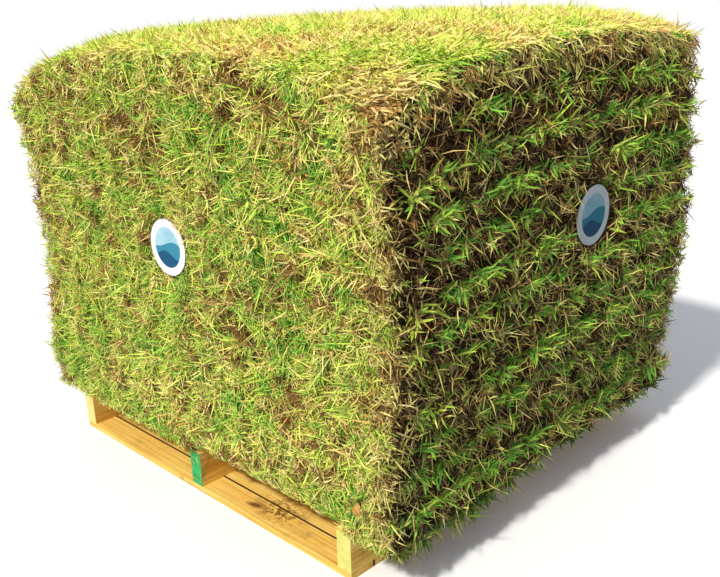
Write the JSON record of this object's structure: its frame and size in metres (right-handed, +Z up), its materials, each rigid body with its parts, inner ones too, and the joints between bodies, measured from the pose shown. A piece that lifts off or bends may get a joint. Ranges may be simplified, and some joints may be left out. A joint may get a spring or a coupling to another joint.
{
  "type": "loaded pallet of turf slabs",
  "caption": "Timber pallet loaded with an interlocked stack of cut turf slabs that sags towards its corners, with plain round tags on its faces.",
  "frame": {"origin": "on the floor under the middle of the load", "axes": "+Z up; +X along the pallet's boards, the load's longer side; +Y along the stringers and the fork pockets, from the front face to the back"},
  "size_m": [1.2618, 1.099, 1.0344],
  "materials": {
    "turf": "matte matted grass blades over brown soil and thatch",
    "timber": "rough sawn softwood, dirty, with one stringer end painted green",
    "tag": "white sheet plastic with a plain printed roundel"
  },
  "bodies": {
    "root": {"stringer_left": "timber", "stringer_middle": "timber", "stringer_right": "timber", "deck_board_01": "timber", "deck_board_02": "timber", "deck_board_03": "timber", "deck_board_04": "timber", "deck_board_05": "timber", "deck_board_06": "timber", "deck_board_07": "timber", "bottom_board_01": "timber", "bottom_board_02": "timber", "bottom_board_03": "timber", "bottom_board_04": "timber", "bottom_board_05": "timber", "turf_layer_01": "turf", "turf_layer_02": "turf", "turf_layer_03": "turf", "turf_layer_04": "turf", "turf_layer_05": "turf", "turf_layer_06": "turf", "turf_layer_07": "turf", "turf_layer_08": "turf", "turf_layer_09": "turf", "turf_layer_10": "turf", "turf_layer_11": "turf", "turf_layer_12": "turf", "tag_front": "tag", "tag_side": "tag"}
  },
  "joints": []
}
